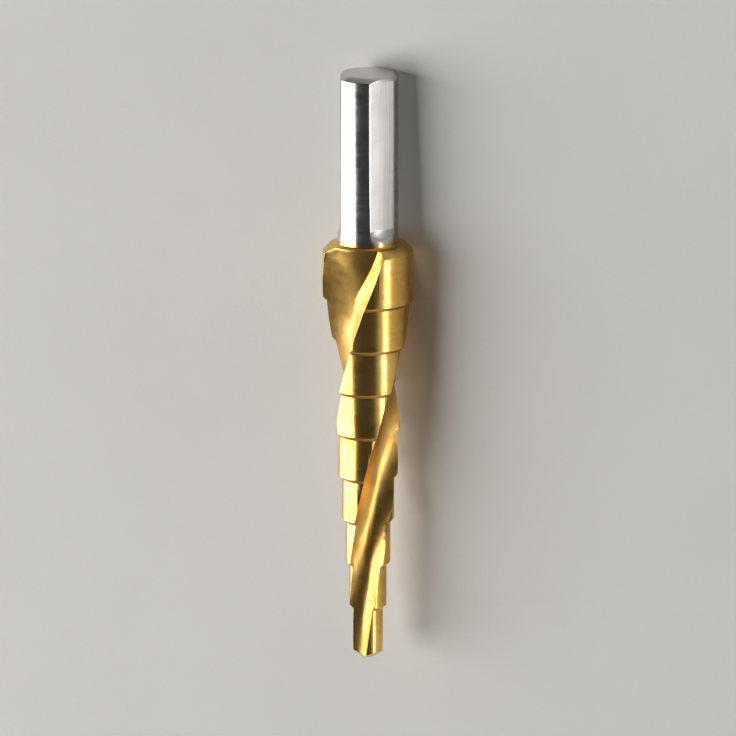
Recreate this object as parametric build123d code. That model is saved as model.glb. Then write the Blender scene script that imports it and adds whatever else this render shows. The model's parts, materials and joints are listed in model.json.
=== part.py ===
from build123d import *

import os
from math import acos, cos, degrees, radians, sin, sqrt, tan

# A step drill for sheet metal, one solid from the split point to the end of the shank.
# Sizes are in millimetres and degrees. The drill is built upright, with its tip down on
# Z = 0 and its axis on Z, and is laid on its side at the end. A heading is an angle about
# the axis: 0 is straight ahead, along -Y, and 90 is along +X.

# The cutting part: cylinders that widen by one rise at each shoulder.
pilot_diameter = 4.0
diameter_rise = 1.0
step_count = 9
pilot_length = 7.0
step_length = 6.0
widest_step_length = 8.0
shoulder_angle = 45.0
rim_chamfer = 0.9

# The point: each lip has a narrow first relief and a steeper second one behind it.
point_angle = 135.0
first_relief = 12.0
first_relief_width = 0.5
second_relief = 30.0

# The flutes: a right-hand helix. Lags are measured back from the cutting edge.
flute_count = 2
flute_lead = 95.5
flute_width = 93.5
edge_heading = 24.3
rake_angle = 4.0
valley_lag = 44.0
floor_width = 0.3
web_share_at_tip = 0.36
web_share_at_end = 0.44
heel_lean = 12.0

# The run-out: the grinding wheel rises out of each flute through the body's end face. The
# cutting face ends as a flat strip there, beside a floor that widens towards the back.
runout_length = 10.5
floor_rise_power = 1.3
face_swing_length = 9.0
back_spread_power = 2.5
runout_face_radius = 4.52
runout_face_lag = 7.5
runout_back_radius = 4.85
runout_back_lag = 76.0
runout_floor_bulge = 0.8
runout_heel_lean = 4.0

# How tightly a flute's outline curves, as shares of its face and of its back.
face_edge_pull = 0.4
face_floor_pull = 0.22
back_floor_pull = 0.2
back_heel_pull = 0.4

# The shank: round, with flats for the three jaws of a chuck.
shank_diameter = 8.0
shank_length = 23.0
shank_chamfer = 0.6
shank_fillet = 0.35
flat_count = 3
flat_distance = 3.62
flat_heading = 30.0
collar_length = 1.3
flat_wheel_radius = 2.5

# How the cutters are made: the spacing of their sections, and how far they overshoot.
section_spacing = 2.0
overshoot = 1.5

shank_radius = shank_diameter / 2
body_length = pilot_length + (step_count - 2) * step_length + widest_step_length
overall_length = body_length + shank_length
shoulder_rise = diameter_rise / 2 / tan(radians(shoulder_angle))


def step_radius(step):
    """Radius of one step, counted from 0 at the pilot."""
    return (pilot_diameter + step * diameter_rise) / 2


largest_radius = step_radius(step_count - 1)


def step_start(step):
    """Height at which a step reaches its full radius, above its shoulder."""
    return pilot_length + (step - 1) * step_length + shoulder_rise


def around(radius, heading, height=0.0):
    """A point at a radius from the axis, on a heading and at a height."""
    angle = radians(heading)
    return Vector(radius * sin(angle), -radius * cos(angle), height)


def turned_blank():
    """The drill as it leaves the lathe, before anything is ground."""
    outline = [(0, 0), (step_radius(0), 0)]
    for step in range(1, step_count):
        outline.append((step_radius(step - 1), step_start(step) - shoulder_rise))
        outline.append((step_radius(step), step_start(step)))
    outline.append((largest_radius, body_length - rim_chamfer))
    outline.append((largest_radius - rim_chamfer, body_length))
    outline.append((shank_radius, body_length))
    outline.append((shank_radius, overall_length - shank_chamfer))
    outline.append((shank_radius - shank_chamfer, overall_length))
    outline.append((0, overall_length))
    blank = revolve(make_face(Plane.XZ * Polyline(*outline, close=True)), Axis.Z)
    end_face_circles = blank.edges().filter_by(GeomType.CIRCLE).filter_by_position(
        Axis.Z, body_length, body_length
    )
    return fillet(end_face_circles.sort_by(SortBy.RADIUS)[0], shank_fillet)


def flat_cutter():
    """What one flat takes off the shank, with the wheel's arc where it runs out."""
    depth = shank_radius - flat_distance
    arc_length = sqrt(flat_wheel_radius**2 - (flat_wheel_radius - depth) ** 2)
    start = body_length + collar_length + arc_length
    top = overall_length + overshoot
    outer = flat_distance + flat_wheel_radius
    ground = Line((flat_distance, top), (flat_distance, start))
    arc = CenterArc((outer, start), flat_wheel_radius, 180, 90)
    outside = Line((outer, start - flat_wheel_radius), (outer, top))
    lid = Line((outer, top), (flat_distance, top))
    side = make_face(Plane.XZ * Wire([ground, arc, outside, lid]))
    return extrude(side, amount=shank_radius, both=True)


def with_flats(drill):
    """Grind the flats, spaced evenly around the shank."""
    cutter = flat_cutter().rotate(Axis.Z, flat_heading - 90)
    for flat in range(flat_count):
        drill = drill - cutter.rotate(Axis.Z, 360 / flat_count * flat)
    return drill


def edge_angle(height):
    """Heading of the first flute's cutting edge at one height."""
    return edge_heading - 360 * (body_length - height) / flute_lead


def ground_lip(drill, lip):
    """Grind the two relief faces behind the lip that lies on one heading."""
    outward_rise = around(tan(radians(90 - point_angle / 2)), lip)
    behind = around(1, lip + 90)
    first_slope = tan(radians(first_relief))
    second_slope = tan(radians(second_relief))
    break_line = behind * first_relief_width + Vector(0, 0, first_relief_width * first_slope)
    up = Vector(0, 0, 1)
    first = Plane((0, 0, 0), z_dir=up - outward_rise - behind * first_slope)
    second = Plane(break_line, z_dir=up - outward_rise - behind * second_slope)
    drill = split(drill, first, Keep.TOP)
    return split(drill, second, Keep.TOP)


def with_point(drill):
    """Grind the point, with one lip to each flute."""
    for flute in range(flute_count):
        drill = ground_lip(drill, edge_angle(0) + 360 / flute_count * flute)
    return drill


def rim_radius(height):
    """The straight taper through the middles of the steps, up to the widest one."""
    taper = diameter_rise / 2 / step_length
    widest_middle = body_length - widest_step_length / 2
    return largest_radius - taper * max(0, widest_middle - height)


def eased(share):
    """A share kept between 0 and 1 that starts and ends gently."""
    share = min(1, max(0, share))
    return share**2 * (3 - 2 * share)


def blend(full_flute, end_face, share):
    """A value between the one in the full flute and the one at the body's end face."""
    return full_flute + (end_face - full_flute) * share


def flute_outline(height):
    """The first flute's outline at one height: cutting face, floor, back and heel."""
    climb = height - body_length + runout_length
    share = max(0, climb / runout_length)
    rise = share**floor_rise_power
    swing = eased(climb / face_swing_length)
    spread = share**back_spread_power
    rim = rim_radius(height)
    web = rim * blend(web_share_at_tip, web_share_at_end, height / body_length)
    edge = edge_angle(height)
    half_floor = degrees(floor_width / 2 / web)
    face_lag = blend(valley_lag - half_floor, runout_face_lag, swing)
    back_lag = blend(valley_lag + half_floor, runout_back_lag, spread)

    lip = around(rim, edge, height)
    face_foot = around(blend(web, runout_face_radius, rise), edge - face_lag, height)
    back_foot = around(blend(web, runout_back_radius, rise), edge - back_lag, height)
    heel = around(rim, edge - flute_width, height)
    middle = (face_foot + back_foot) / 2
    outward = (middle - Vector(0, 0, height)).normalized()
    crown = middle + outward * runout_floor_bulge * spread

    inward = around(1, edge + 180 + rake_angle)
    down_face = (face_foot - lip).normalized()
    along_floor = (face_foot - back_foot).normalized()
    off_floor = (back_foot - crown).normalized()
    lean = blend(heel_lean, runout_heel_lean, swing)
    off_heel = (back_foot - heel).normalized().rotate(Axis.Z, lean)
    face_start = inward * (1 - swing) + down_face * swing
    face_end = along_floor * (1 - swing) - down_face * swing
    face_span = (lip - face_foot).length
    back_span = (heel - back_foot).length
    face = Bezier(
        lip,
        lip + face_start * face_span * face_edge_pull,
        face_foot + face_end * face_span * face_floor_pull,
        face_foot,
    )
    floor = Bezier(face_foot, crown, back_foot)
    back = Bezier(
        back_foot,
        back_foot + off_floor * back_span * back_floor_pull,
        heel + off_heel * back_span * back_heel_pull,
        heel,
    )

    outside = largest_radius + overshoot
    lip_outside = around(outside, edge, height)
    middle_outside = around(outside, edge - flute_width / 2, height)
    heel_outside = around(outside, edge - flute_width, height)
    to_lip = Line(lip_outside, lip)
    from_heel = Line(heel, heel_outside)
    lid = ThreePointArc(heel_outside, middle_outside, lip_outside)
    return Wire([to_lip, face, floor, back, from_heel, lid])


def flute_cutter():
    """The room that one flute takes: a loft through outlines that follow the helix."""
    length = body_length + overshoot
    spans = round(length / section_spacing)
    heights = [body_length - length * i / spans for i in range(spans + 1)]
    return Solid.make_loft([flute_outline(height) for height in heights])


def with_flutes(drill):
    """Grind the flutes, spaced evenly around the body."""
    cutter = flute_cutter()
    for flute in range(flute_count):
        drill = drill - cutter.rotate(Axis.Z, 360 / flute_count * flute)
    return drill


def table_plane():
    """The table under the lying drill, through the three corners that touch it.

    They belong to the half of the drill opposite its heading 0: a heel at the rim of the
    widest step, a cutting edge at the start of the step before it, and the shank's end
    beside a flat.
    """
    rim_height = body_length - rim_chamfer
    rim_corner = around(largest_radius, edge_angle(rim_height) - flute_width + 180, rim_height)
    step = step_count - 2
    edge_corner = around(step_radius(step), edge_angle(step_start(step)) + 180, step_start(step))
    half_flat = degrees(acos(flat_distance / shank_radius))
    flat_edge = flat_heading + 360 / flat_count - half_flat
    shank_corner = around(shank_radius, flat_edge, overall_length - shank_chamfer)
    up = (shank_corner - rim_corner).cross(edge_corner - rim_corner)
    return Plane(rim_corner, x_dir=Vector(0, 0, 1).cross(up), z_dir=up)


def laid_down(drill):
    """The drill on its side on the table, Z = 0, with its shank towards +Y."""
    lying = table_plane().to_local_coords(drill)
    middle = lying.bounding_box().center()
    return Pos(-middle.X, -middle.Y, 0) * lying


drill = with_flutes(with_point(with_flats(turned_blank())))
step_drill = laid_down(drill)

os.makedirs("parts", exist_ok=True)
export_step(step_drill, "parts/step_drill.step")
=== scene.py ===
import json
import math

import bmesh
import bpy
from mathutils import Matrix, Vector


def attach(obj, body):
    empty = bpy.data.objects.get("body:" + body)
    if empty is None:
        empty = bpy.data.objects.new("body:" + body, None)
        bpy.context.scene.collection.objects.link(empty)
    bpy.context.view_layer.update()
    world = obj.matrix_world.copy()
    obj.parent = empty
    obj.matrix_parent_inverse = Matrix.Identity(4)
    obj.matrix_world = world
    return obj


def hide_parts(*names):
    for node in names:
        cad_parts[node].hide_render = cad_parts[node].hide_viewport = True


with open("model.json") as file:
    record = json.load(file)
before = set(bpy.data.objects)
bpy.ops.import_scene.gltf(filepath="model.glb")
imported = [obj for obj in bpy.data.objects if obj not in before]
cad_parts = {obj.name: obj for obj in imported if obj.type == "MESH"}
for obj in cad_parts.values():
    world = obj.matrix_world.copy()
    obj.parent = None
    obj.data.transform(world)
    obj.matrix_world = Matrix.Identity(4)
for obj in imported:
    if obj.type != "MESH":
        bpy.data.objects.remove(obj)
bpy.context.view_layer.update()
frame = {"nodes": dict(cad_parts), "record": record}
print("packed drill loaded")

drill = {
    "overallLength": 0.080,  # lengths are in metres, as everywhere but inside the finishes
    "bodyLength": 0.057,
    "pilotRadius": 0.002,
    "radiusRise": 0.0005,
    "stepCount": 9,
    "shankRadius": 0.004,
    "pointLength": 0.0018,
    "filletLength": 0.0004,
    "endChamfer": 0.00065,
    "fluteLead": 0.0955,
    "mergeWithin": 2e-6,  # corners closer than this become one
    "flattenBelow": 0.3,  # flatter edges than this go, in degrees
    "edgeAngle": 34,  # edges sharper than this are honed, in degrees
    "edgeRound": 0.00004,  # how far the honed edges are rounded back
    "edgeSegments": 2,
    "coatPast": 0.0001,  # honed edges keep the coating this far past the body
    "shadingWeight": 60,  # how far the large faces lead the shading
}

# The drill's axis runs through the middle of the shank's end, which the record gives as a mount.
shankMount = next(m for m in frame["record"]["mounts"] if m["name"] == "shank")
towardShank = Vector(shankMount["axis"]).normalized()
tipPoint = Vector(shankMount["pos_m"]) - towardShank * drill["overallLength"]


class Wire:
    # A socket that Python's arithmetic works on; each operation adds its Math node.
    def __init__(self, finish, socket):
        self.finish = finish
        self.socket = socket

    def maths(self, operation, *values):
        node = self.finish.add("ShaderNodeMath", {"operation": operation}, dict(enumerate(values)))
        return Wire(self.finish, node.outputs[0])

    def __add__(self, other):
        return self.maths("ADD", self, other)

    def __sub__(self, other):
        return self.maths("SUBTRACT", self, other)

    def __rsub__(self, other):
        return self.maths("SUBTRACT", other, self)

    def __mul__(self, other):
        return self.maths("MULTIPLY", self, other)

    def __truediv__(self, other):
        return self.maths("DIVIDE", self, other)

    def __rtruediv__(self, other):
        return self.maths("DIVIDE", other, self)

    __radd__ = __add__
    __rmul__ = __mul__

    def cosine(self):
        return self.maths("COSINE", self)

    def sine(self):
        return self.maths("SINE", self)

    def root(self):
        return self.maths("SQRT", self)


class Finish:
    # A material and the few ways its nodes are added.
    def __init__(self, name, metallic, specular=0.5):
        self.material = bpy.data.materials.new(name)
        self.material.use_nodes = True
        self.tree = self.material.node_tree
        self.shader = self.tree.nodes["Principled BSDF"]
        self.shader.inputs["Metallic"].default_value = metallic
        self.shader.inputs["Specular IOR Level"].default_value = specular
        self.axes = ()

    def add(self, kind, settings=(), sockets=()):
        node = self.tree.nodes.new(kind)
        for name, value in dict(settings).items():
            setattr(node, name, value)
        for name, value in dict(sockets).items():
            self.plug(node.inputs[name], value)
        return node

    def plug(self, socket, value):
        if isinstance(value, Wire):
            self.tree.links.new(value.socket, socket)
        else:
            socket.default_value = value

    def noise(self, point, scale, detail=2.0, roughness=0.5):
        node = self.add("ShaderNodeTexNoise", {"noise_dimensions": "3D"},
                        {"Vector": point, "Scale": scale, "Detail": detail,
                         "Roughness": roughness})
        return Wire(self, node.outputs[0])

    def between(self, value, low, high, fromLow=0.0, fromHigh=1.0):
        # Turns value, which runs from fromLow to fromHigh, into low to high, held at both ends.
        node = self.add("ShaderNodeMapRange", {"interpolation_type": "SMOOTHSTEP"},
                        {"Value": value, "From Min": fromLow, "From Max": fromHigh,
                         "To Min": low, "To Max": high})
        return Wire(self, node.outputs[0])

    def blend(self, amount, first, second):
        # Mixes two colours.
        node = self.add("ShaderNodeMix", {"data_type": "RGBA"}, {0: amount, 6: first, 7: second})
        return Wire(self, node.outputs[2])

    def point(self, x, y, z):
        node = self.add("ShaderNodeCombineXYZ", (), {0: x, 1: y, 2: z})
        return Wire(self, node.outputs[0])

    def drillPoint(self):
        # Millimetres in the drill's own frame: y runs from the tip along the axis to the shank.
        if not self.axes:
            coordinates = Wire(self, self.add("ShaderNodeTexCoord").outputs["Object"])
            turn = math.atan2(-towardShank.z, towardShank.y)
            start = Matrix.Rotation(turn, 3, "X") @ tipPoint * -1000
            mapped = self.add("ShaderNodeMapping", {"vector_type": "POINT"},
                              {"Vector": coordinates, "Location": start,
                               "Rotation": (turn, 0, 0), "Scale": (1000, 1000, 1000)})
            apart = self.add("ShaderNodeSeparateXYZ", (), {0: Wire(self, mapped.outputs[0])})
            self.axes = tuple(Wire(self, apart.outputs[i]) for i in range(3))
        return self.axes

    def ground(self, colour, lines, cloud, lineShare, roughness, span, depth):
        # Dresses a ground surface. Its roughness follows a mix of its lines and a cloud, and
        # span is where in that mix the roughness starts and stops changing.
        mixed = lines * lineShare + cloud * (1 - lineShare)
        self.plug(self.shader.inputs["Base Color"], colour)
        self.plug(self.shader.inputs["Roughness"], self.between(mixed, *roughness, *span))
        self.bump(lines, depth)
        return self.material

    def bump(self, height, depth):
        node = self.add("ShaderNodeBump", (), {"Height": height, "Distance": depth})
        self.plug(self.shader.inputs["Normal"], Wire(self, node.outputs[0]))


def ringLines(finish, perMillimetre):
    # Fine lines round the drill, left by turning and round grinding. On shoulders and end
    # faces they are rings about the axis.
    x, y, z = finish.drillPoint()
    outward = (x * x + z * z).root()
    across = (y + outward * 0.6) * perMillimetre
    fine = finish.noise(finish.point(x * 0.5, across, z * 0.5), 1.0, 3.0, 0.6)
    coarse = finish.noise(finish.point(x * 0.2, across * 0.23, z * 0.2), 1.0)
    return fine * 0.55 + coarse * 0.45


def fluteLines(finish, perMillimetre, lineRadius):
    # Fine lines that run along the helix, left by the flute's grinding wheel. The point is
    # turned back by the helix and brought to one radius, so that they keep their spacing.
    x, y, z = finish.drillPoint()
    turn = y * (2 * math.pi / (drill["fluteLead"] * 1000))
    turnCosine, turnSine = turn.cosine(), turn.sine()
    outward = (x * x + z * z).root()
    spread = lineRadius * perMillimetre / outward
    straightX = (x * turnCosine - z * turnSine) * spread
    straightZ = (x * turnSine + z * turnCosine) * spread
    depth = outward * (perMillimetre * 0.25)
    fine = finish.noise(
        finish.point(straightX, y * 0.12 + depth, straightZ), 1.0, 3.0, 0.6)
    coarse = finish.noise(
        finish.point(straightX * 0.3, y * 0.08 + depth * 0.3, straightZ * 0.3), 1.0)
    return fine * 0.85 + coarse * 0.15


def flatLines(finish, perMillimetre):
    # Straight lines along the shank, left by grinding its three flats.
    x, y, z = finish.drillPoint()
    along = y * 0.07
    return finish.noise(finish.point(x * perMillimetre, along, z * perMillimetre), 1.0, 3.0, 0.6)


def patches(finish, perMillimetre, seed):
    # Slow, cloudy change of tone.
    x, y, z = finish.drillPoint()
    return finish.noise(finish.point(x + seed, y, z), perMillimetre, 3.0, 0.55)


coat = {
    "gold": (0.82, 0.49, 0.115, 1),
    "paleGold": (0.92, 0.64, 0.22, 1),
    "deepGold": (0.65, 0.34, 0.065, 1),
    # The flutes' gold is deeper and more orange than the lands': painted reflection of the
    # surrounding gold walls.
    "flutePaintedReflectionGold": (0.79, 0.455, 0.11, 1),
    "wornSteel": (0.80, 0.74, 0.62, 1),
    "landTones": (0.65, 0.45, 0.45),  # how far pale clouds, deep clouds and lines show
    "fluteTones": (0.45, 0.30, 0.22),
    "paleClouds": (0.36, 0.62),  # where in their noise these start, and where they are full
    "deepClouds": (0.52, 0.74),
    "lineShade": (0.52, 0.30),
    "wornPlaces": (0.50, 0.66),
    # Each roughness stays below 0.27 or above 0.28: one that crosses leaves dark ticks when
    # the render is denoised.
    "landRoughness": (0.19, 0.27),
    "landSpan": (0.34, 0.66),
    "fluteRoughness": (0.285, 0.36),
    "fluteSpan": (0.30, 0.62),
    "edgeRoughness": (0.26, 0.18),  # with the coating, and worn down to steel
    "ringsPerMillimetre": 8.0,
    "fluteLinesPerMillimetre": 9.0,
    "fluteLineRadius": 5.0,  # where the lines are that close, in millimetres from the axis
    "ringDepth": 0.0000034,
    "fluteDepth": 0.0000014,
}


def coatColour(finish, lines, clean, tones, seed):
    # The coating's colour: pale and deep clouds, and darker where the grinding lines are low.
    pale, deep, lined = tones
    cloud = patches(finish, 0.35, seed)
    colour = finish.blend(finish.between(cloud, 0.0, pale, *coat["paleClouds"]),
                          clean, coat["paleGold"])
    stain = patches(finish, 0.9, seed + 40)
    colour = finish.blend(finish.between(stain, 0.0, deep, *coat["deepClouds"]),
                          colour, coat["deepGold"])
    return finish.blend(finish.between(lines, 0.0, lined, *coat["lineShade"]),
                        colour, coat["deepGold"])


def landFinish():
    finish = Finish("coated ground lands", metallic=1.0)
    lines = ringLines(finish, coat["ringsPerMillimetre"])
    colour = coatColour(finish, lines, coat["gold"], coat["landTones"], seed=0)
    return finish.ground(colour, lines, patches(finish, 0.6, seed=9), lineShare=0.6,
                         roughness=coat["landRoughness"], span=coat["landSpan"],
                         depth=coat["ringDepth"])


def fluteFinish():
    finish = Finish("coated flutes", metallic=1.0)
    lines = fluteLines(finish, coat["fluteLinesPerMillimetre"], coat["fluteLineRadius"])
    # The flutes start from their deeper, more orange gold, a painted reflection of the surrounding
    # gold walls.
    colour = coatColour(finish, lines, coat["flutePaintedReflectionGold"], coat["fluteTones"], seed=17)
    return finish.ground(colour, lines, patches(finish, 0.5, seed=23), lineShare=0.4,
                         roughness=coat["fluteRoughness"], span=coat["fluteSpan"],
                         depth=coat["fluteDepth"])


def edgeFinish():
    # Along the edges the coating is burnished, and here and there it has gone down to steel.
    finish = Finish("worn coated edges", metallic=1.0)
    worn = finish.between(patches(finish, 1.6, seed=61), 0.0, 1.0, *coat["wornPlaces"])
    colour = finish.blend(worn, coat["paleGold"], coat["wornSteel"])
    finish.plug(finish.shader.inputs["Base Color"], colour)
    rough = finish.between(worn, *coat["edgeRoughness"])
    finish.plug(finish.shader.inputs["Roughness"], rough)
    return finish.material


steel = {
    "bright": (0.62, 0.61, 0.60, 1),
    "dull": (0.49, 0.48, 0.47, 1),
    # The flats' greys are darker than the round shank's: partly their own grind, partly painted
    # shade for the dark they reflect.
    "flatSatinAndPaintedShade": (0.50, 0.49, 0.48, 1),
    "flatDullAndPaintedShade": (0.39, 0.385, 0.38, 1),
    "straw": (0.62, 0.48, 0.27, 1),
    "lineTone": 0.8,  # how far the lines and the clouds show
    "cloudTone": 0.35,
    "lineShade": (0.56, 0.36),  # where in their noise these start, and where they are full
    "clouds": (0.50, 0.70),
    "shankRoughness": (0.15, 0.27),
    "flatRoughness": (0.285, 0.38),
    "span": (0.36, 0.64),
    "ringsPerMillimetre": 9.0,
    "linesPerMillimetre": 10.0,
    "lineDepth": 0.0000018,
    "flatLineDepth": 0.0000010,
    "coatEnd": 0.35,  # where the coating ends, in millimetres past the foot of the shank
    "coatOverlap": 0.2,
    "coatFade": 0.5,
    "strawFade": 1.1,
    "raggedness": 0.7,  # how far that end wanders, in millimetres
}


def steelColour(finish, lines, clean, dull, seed):
    # Bare steel, with the last of the coating and a straw tint past it at the shank's foot.
    colour = finish.blend(finish.between(lines, 0.0, steel["lineTone"], *steel["lineShade"]),
                          clean, dull)
    cloud = patches(finish, 0.4, seed)
    colour = finish.blend(finish.between(cloud, 0.0, steel["cloudTone"], *steel["clouds"]),
                          colour, dull)
    x, y, z = finish.drillPoint()
    ragged = y + (patches(finish, 1.2, seed + 5) - 0.5) * steel["raggedness"]
    foot = drill["bodyLength"] * 1000 + steel["coatEnd"]
    strawed = finish.between(ragged, 1.0, 0.0, foot, foot + steel["strawFade"])
    colour = finish.blend(strawed, colour, steel["straw"])
    coated = finish.between(ragged, 1.0, 0.0, foot - steel["coatOverlap"],
                            foot + steel["coatFade"])
    return finish.blend(coated, colour, coat["gold"])


def shankFinish():
    finish = Finish("bright ground shank", metallic=1.0)
    lines = ringLines(finish, steel["ringsPerMillimetre"])
    colour = steelColour(finish, lines, steel["bright"], steel["dull"], seed=71)
    return finish.ground(colour, lines, patches(finish, 0.7, seed=77), lineShare=0.5,
                         roughness=steel["shankRoughness"], span=steel["span"],
                         depth=steel["lineDepth"])


def flatFinish():
    finish = Finish("ground shank flats", metallic=1.0)
    lines = flatLines(finish, steel["linesPerMillimetre"])
    # The flats take their darker greys, partly their own grind and partly painted shade.
    colour = steelColour(finish, lines, steel["flatSatinAndPaintedShade"], steel["flatDullAndPaintedShade"], seed=83)
    return finish.ground(colour, lines, patches(finish, 0.8, seed=89), lineShare=0.5,
                         roughness=steel["flatRoughness"], span=steel["span"],
                         depth=steel["flatLineDepth"])


finishes = {
    "land": landFinish(),
    "flute": fluteFinish(),
    "edge": edgeFinish(),
    "shank": shankFinish(),
    "flat": flatFinish(),
}
slotOf = {name: i for i, name in enumerate(finishes)}
print("finishes mixed")

telling = {
    # What tells the drill's surfaces apart: distances, then how squarely a face looks one way.
    "offRound": 2e-5,
    "pastBody": 1e-5,
    "endLean": 0.99,
    "pointLean": -0.75,
    "stepFacing": 0.98,
    "shoulderFacing": 0.6,
    "shoulderLean": 0.6,
    "shoulderTwist": 0.08,
}
stepRadii = [drill["pilotRadius"] + drill["radiusRise"] * i for i in range(drill["stepCount"])]


def fromTip(point):
    return (point - tipPoint).dot(towardShank)


def spokeTo(point):
    reach = point - tipPoint
    return reach - towardShank * reach.dot(towardShank)


def onShankRound(face):
    return all(abs(spokeTo(v.co).dot(face.normal) - drill["shankRadius"]) < telling["offRound"]
               for v in face.verts)


def onStepRound(face):
    reaches = [spokeTo(v.co).length for v in face.verts]
    return any(all(abs(reach - radius) < telling["offRound"] for reach in reaches)
               for radius in stepRadii)


def finishOf(face):
    # Names the finish of a face from where it is and which way it looks.
    middle = face.calc_center_median()
    along = fromTip(middle)
    lean = face.normal.dot(towardShank)
    if along > drill["bodyLength"] + telling["pastBody"]:
        atFoot = along < drill["bodyLength"] + drill["filletLength"]
        atEnd = along > drill["overallLength"] - drill["endChamfer"]
        return "shank" if atFoot or atEnd or onShankRound(face) else "flat"
    onPoint = along < drill["pointLength"] and lean < telling["pointLean"]
    if lean > telling["endLean"] or onPoint:
        return "land"
    outward = spokeTo(middle).normalized()
    facing = face.normal.dot(outward)
    twist = abs(face.normal.dot(towardShank.cross(outward)))
    onShoulder = (twist < telling["shoulderTwist"] and facing > telling["shoulderFacing"]
                  and abs(lean) > telling["shoulderLean"])
    onLand = facing > telling["stepFacing"] and onStepRound(face)
    return "land" if onShoulder or onLand else "flute"


def makeDrill():
    edgeAngle = math.radians(drill["edgeAngle"])
    shape = bmesh.new()
    shape.from_mesh(frame["nodes"]["step_drill"].data)
    bmesh.ops.remove_doubles(shape, verts=shape.verts, dist=drill["mergeWithin"])
    for face in shape.faces:
        face.material_index = slotOf[finishOf(face)]
    bmesh.ops.dissolve_limit(shape, angle_limit=math.radians(drill["flattenBelow"]),
                             verts=shape.verts, edges=shape.edges, delimit={"MATERIAL"})
    sharp = [e for e in shape.edges
             if e.is_manifold and e.is_convex and e.calc_face_angle() > edgeAngle]
    honed = bmesh.ops.bevel(shape, geom=sharp, offset=drill["edgeRound"], offset_type="OFFSET",
                            segments=drill["edgeSegments"], profile=0.5, affect="EDGES",
                            material=-1, clamp_overlap=False, loop_slide=True)
    for face in honed["faces"]:
        if fromTip(face.calc_center_median()) < drill["bodyLength"] + drill["coatPast"]:
            face.material_index = slotOf["edge"]
    for face in shape.faces:
        face.smooth = True
    for edge in shape.edges:
        edge.smooth = not edge.is_manifold or edge.calc_face_angle() < edgeAngle
    mesh = bpy.data.meshes.new("stepDrill")
    shape.to_mesh(mesh)
    shape.free()
    for material in finishes.values():
        mesh.materials.append(material)
    piece = bpy.data.objects.new("stepDrill", mesh)
    bpy.context.scene.collection.objects.link(piece)
    evened = piece.modifiers.new("evenShading", "WEIGHTED_NORMAL")
    evened.keep_sharp = True
    evened.weight = drill["shadingWeight"]
    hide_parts("step_drill")
    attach(piece, "root")


makeDrill()
print("drill dressed")

floor = {
    "flatRadius": 1.7,
    "sweepRadius": 0.7,
    "sweepSteps": 12,
    "wallHeight": 0.5,
    "turnSteps": 96,
    "mergeWithin": 1e-6,
    "paint": (0.84, 0.83, 0.81, 1),
    "paintShade": (0.815, 0.805, 0.785, 1),
    "mottleSpan": (0.35, 0.65),  # where in their noise the paint and the roughness change
    "grainSpan": (0.3, 0.7),
    "roughness": (0.55, 0.75),
    "cloudsPerMetre": 35.0,
    "grainsPerMetre": 2600.0,
    "grainDepth": 0.00002,
}


def floorFinish():
    finish = Finish("matte pale board", metallic=0.0, specular=0.3)
    coordinates = Wire(finish, finish.add("ShaderNodeTexCoord").outputs["Object"])
    cloud = finish.noise(coordinates, floor["cloudsPerMetre"], 3.0)
    grain = finish.noise(coordinates, floor["grainsPerMetre"])
    mottle = finish.between(cloud * 0.6 + grain * 0.4, 0.0, 1.0, *floor["mottleSpan"])
    finish.plug(finish.shader.inputs["Base Color"],
                finish.blend(mottle, floor["paintShade"], floor["paint"]))
    finish.plug(finish.shader.inputs["Roughness"],
                finish.between(grain, *floor["roughness"], *floor["grainSpan"]))
    finish.bump(grain, floor["grainDepth"])
    return finish.material


def makeFloor():
    # A round board whose rim sweeps up into a low wall.
    shape = bmesh.new()
    rim = floor["flatRadius"]
    corners = [(0.0, 0.0)]
    for i in range(floor["sweepSteps"] + 1):
        turn = math.pi / 2 * i / floor["sweepSteps"]
        corners.append((rim + floor["sweepRadius"] * math.sin(turn),
                        floor["sweepRadius"] * (1 - math.cos(turn))))
    corners.append((rim + floor["sweepRadius"], floor["sweepRadius"] + floor["wallHeight"]))
    profile = [shape.verts.new((x, 0.0, z)) for x, z in corners]
    rails = [shape.edges.new(pair) for pair in zip(profile, profile[1:])]
    bmesh.ops.spin(shape, geom=profile + rails, cent=(0, 0, 0), axis=(0, 0, 1),
                   angle=2 * math.pi, steps=floor["turnSteps"], use_merge=True)
    bmesh.ops.remove_doubles(shape, verts=shape.verts, dist=floor["mergeWithin"])
    bmesh.ops.recalc_face_normals(shape, faces=shape.faces)
    if sum(face.normal.z for face in shape.faces) < 0:
        bmesh.ops.reverse_faces(shape, faces=shape.faces)
    for face in shape.faces:
        face.smooth = True
    mesh = bpy.data.meshes.new("paleFloor")
    shape.to_mesh(mesh)
    shape.free()
    mesh.materials.append(floorFinish())
    piece = bpy.data.objects.new("paleFloor", mesh)
    bpy.context.scene.collection.objects.link(piece)


makeFloor()
print("floor laid")

view = {
    "roundFromTop": 36.4684,  # degrees that the camera stands round the drill's axis
    "towardShank": 15,  # degrees that it stands off square, on the shank's side
    "distance": 1.0,
    "lens": 370,
    "sensor": 36,
    "nearest": 0.05,
    "farthest": 20,
}
topFacing = (Vector((0, 0, 1)) - towardShank * towardShank.z).normalized()
sideFacing = Matrix.Rotation(math.radians(view["roundFromTop"]), 3, towardShank) @ topFacing
rightHand = towardShank.cross(sideFacing)


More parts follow.
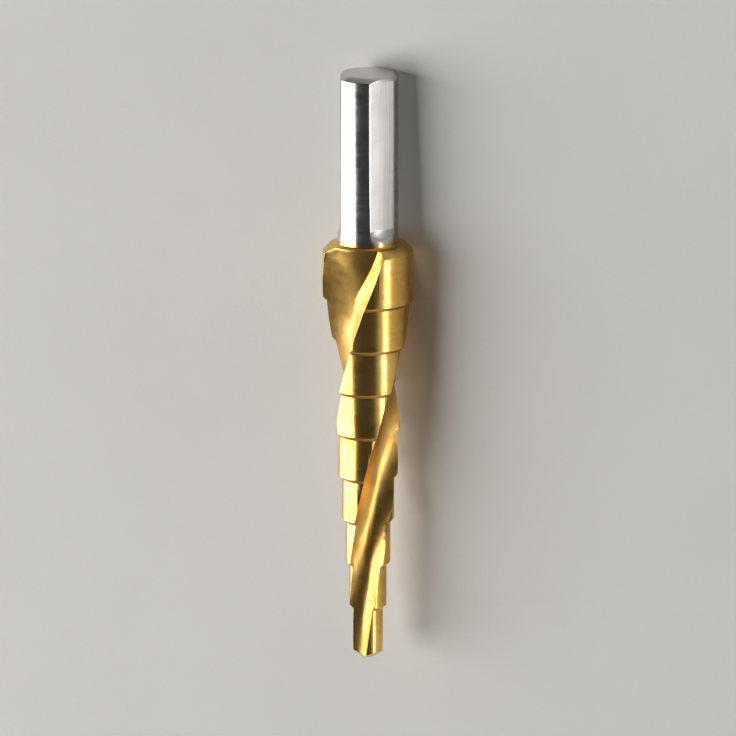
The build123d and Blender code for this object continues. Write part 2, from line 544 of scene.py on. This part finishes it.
def aimed(item, towards):
    # Turns a camera or lamp to look back along towards, with the shank's end up.
    back = towards.normalized()
    across = towardShank.cross(back).normalized()
    turned = Matrix((across, back.cross(across), back)).transposed().to_4x4()
    item.matrix_world = Matrix.Translation(item.location) @ turned


def makeCamera():
    lift = math.radians(view["towardShank"])
    towards = sideFacing * math.cos(lift) + towardShank * math.sin(lift)
    data = bpy.data.cameras.new("camera")
    data.lens = view["lens"]
    data.sensor_width = view["sensor"]
    data.clip_start = view["nearest"]
    data.clip_end = view["farthest"]
    camera = bpy.data.objects.new("camera", data)
    bpy.context.scene.collection.objects.link(camera)
    drillMiddle = tipPoint + towardShank * drill["overallLength"] / 2
    camera.location = drillMiddle + towards * view["distance"]
    aimed(camera, towards)
    bpy.context.scene.camera = camera


# A heading goes round the drill's axis from the camera's side, and a tilt toward the shank.
lamps = {
    "broadPanel": {"heading": -88, "tilt": -8, "width": 2.4, "length": 1.0, "distance": 1.6,
                   "power": 31, "colour": (1.0, 0.985, 0.96)},
    "sidePanel": {"heading": 52, "tilt": -15, "width": 0.34, "length": 1.0, "distance": 1.5,
                  "power": 6.4, "colour": (1.0, 0.99, 0.98)},
}
room = {"light": (0.055, 0.054, 0.053, 1)}


def makeLamp(name, lamp):
    turn, lift = math.radians(lamp["heading"]), math.radians(lamp["tilt"])
    across = sideFacing * math.cos(turn) + rightHand * math.sin(turn)
    towards = across * math.cos(lift) + towardShank * math.sin(lift)
    data = bpy.data.lights.new(name, "AREA")
    data.shape = "RECTANGLE"
    data.size = lamp["width"]
    data.size_y = lamp["length"]
    data.energy = lamp["power"]
    data.color = lamp["colour"]
    panel = bpy.data.objects.new(name, data)
    bpy.context.scene.collection.objects.link(panel)
    panel.location = towards * lamp["distance"]
    aimed(panel, towards)


def makeRoom():
    studio = bpy.data.worlds.new("studio")
    studio.use_nodes = True
    studio.node_tree.nodes["Background"].inputs["Color"].default_value = room["light"]
    bpy.context.scene.world = studio


makeCamera()
for name, lamp in lamps.items():
    makeLamp(name, lamp)
makeRoom()
bpy.context.scene.view_settings.view_transform = "Standard"
print("camera and lamps set")
